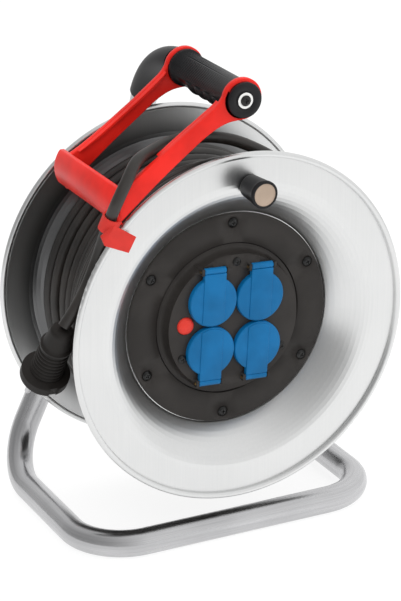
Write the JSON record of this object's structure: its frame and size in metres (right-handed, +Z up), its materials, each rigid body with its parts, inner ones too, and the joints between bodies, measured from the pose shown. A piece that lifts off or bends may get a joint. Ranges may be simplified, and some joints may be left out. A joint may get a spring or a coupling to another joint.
{
  "type": "extension cord reel",
  "caption": "Sheet steel cable drum on a bent tube stand, with lidded sockets in its face, a crank knob, a swinging cable guide and a hanging plug.",
  "frame": {"origin": "on the floor, at the centre of the object's footprint box with the free cable and plug left out", "axes": "+Z up; -Y is the front, which the sockets and the crank knob face; +X is the right as seen from the front; the drum turns about a line along Y"},
  "size_m": [0.3134, 0.224, 0.385],
  "materials": {
    "zinc_tube": "bright galvanised, faint streaks along the tube",
    "zinc_sheet": "satin galvanised sheet",
    "steel": "zinc plated",
    "spring_steel": "bare",
    "black_plastic": "fine satin",
    "grey_plastic": "fine satin",
    "black_steel": "blackened",
    "red_plastic": "semi-gloss",
    "red_rubber": "matt",
    "blue_plastic": "satin",
    "button_red": "satin",
    "cable_rubber": "satin",
    "brass": "machined",
    "white_plastic": "satin",
    "beige_plastic": "satin",
    "ivory_plastic": "satin"
  },
  "bodies": {
    "stand": {"stand_tube": "zinc_tube", "axle_bracket": "steel", "bracket_bolts": "steel", "bracket_nuts": "steel", "axle": "steel", "axle_spacer": "steel", "axle_washer": "steel", "axle_nut": "steel", "neck_sleeve": "black_plastic", "hand_grip": "black_plastic", "tube_insert": "black_plastic", "grip_end_cap": "black_plastic", "cap_washer": "white_plastic", "cap_screw": "black_steel", "rim_clip": "red_rubber", "tail_cord": "cable_rubber", "plug_body": "cable_rubber", "plug_face": "cable_rubber", "plug_pins": "brass"},
    "guide": {"guide_frame": "red_plastic", "guide_rear_arm": "red_plastic"},
    "drum": {"front_flange": "zinc_sheet", "rear_flange": "zinc_sheet", "drum_barrel": "black_plastic", "hub_bush": "ivory_plastic", "front_ring": "grey_plastic", "front_screws": "black_steel", "rear_ring": "grey_plastic", "rear_screws": "black_steel", "socket_insert": "grey_plastic", "insert_screws": "black_steel", "socket_block_1": "grey_plastic", "socket_block_2": "grey_plastic", "socket_block_3": "grey_plastic", "socket_block_4": "grey_plastic", "contact_sleeves": "brass", "earth_clips": "steel", "thermal_cutout": "black_plastic", "terminal_block": "ivory_plastic", "cable_gland": "black_plastic", "winding_core": "cable_rubber", "winding": "cable_rubber", "knob_bolt": "steel", "knob_nut": "steel", "lid_pins": "brass", "lid_springs": "spring_steel"},
    "knob": {"crank_knob": "black_plastic", "knob_disc": "beige_plastic"},
    "button": {"reset_button": "button_red"},
    "lid_1": {"lid_1": "blue_plastic"},
    "lid_2": {"lid_2": "blue_plastic"},
    "lid_3": {"lid_3": "blue_plastic"},
    "lid_4": {"lid_4": "blue_plastic"}
  },
  "joints": [
    {"name": "drum_spin", "type": "hinge", "parent": "stand", "child": "drum", "pos_m": [0, -0.01405, 0.181], "axis": [0, 1, 0], "continuous": true},
    {"name": "guide_swing", "type": "hinge", "parent": "stand", "child": "guide", "pos_m": [0, -0.01405, 0.3685], "axis": [0, 1, 0], "range_deg": [0, 235], "deforming": ["tail_cord"]},
    {"name": "knob_spin", "type": "hinge", "parent": "drum", "child": "knob", "pos_m": [0.00635, -0.09905, 0.29833], "axis": [0, 1, 0], "continuous": true},
    {"name": "lid_1_hinge", "type": "hinge", "parent": "drum", "child": "lid_1", "pos_m": [-0.01819, -0.07585, 0.2288], "axis": [-0.9985, 0, 0.0541], "range_deg": [0, 105], "stiffness_Nm_per_rad": 0.008, "springref_deg": -45.84},
    {"name": "lid_2_hinge", "type": "hinge", "parent": "drum", "child": "lid_2", "pos_m": [0.02325, -0.07585, 0.22656], "axis": [-0.9985, 0, 0.0541], "range_deg": [0, 105], "stiffness_Nm_per_rad": 0.008, "springref_deg": -45.84},
    {"name": "lid_3_hinge", "type": "hinge", "parent": "drum", "child": "lid_3", "pos_m": [-0.02325, -0.07585, 0.13544], "axis": [0.9985, 0, -0.0541], "range_deg": [0, 105], "stiffness_Nm_per_rad": 0.008, "springref_deg": -45.84},
    {"name": "lid_4_hinge", "type": "hinge", "parent": "drum", "child": "lid_4", "pos_m": [0.01819, -0.07585, 0.1332], "axis": [0.9985, 0, -0.0541], "range_deg": [0, 105], "stiffness_Nm_per_rad": 0.008, "springref_deg": -45.84},
    {"name": "button_press", "type": "slide", "parent": "drum", "child": "button", "axis": [0, 1, 0], "range_m": [0, 0.002], "stiffness_N_per_m": 600, "springref_m": -0.001}
  ]
}
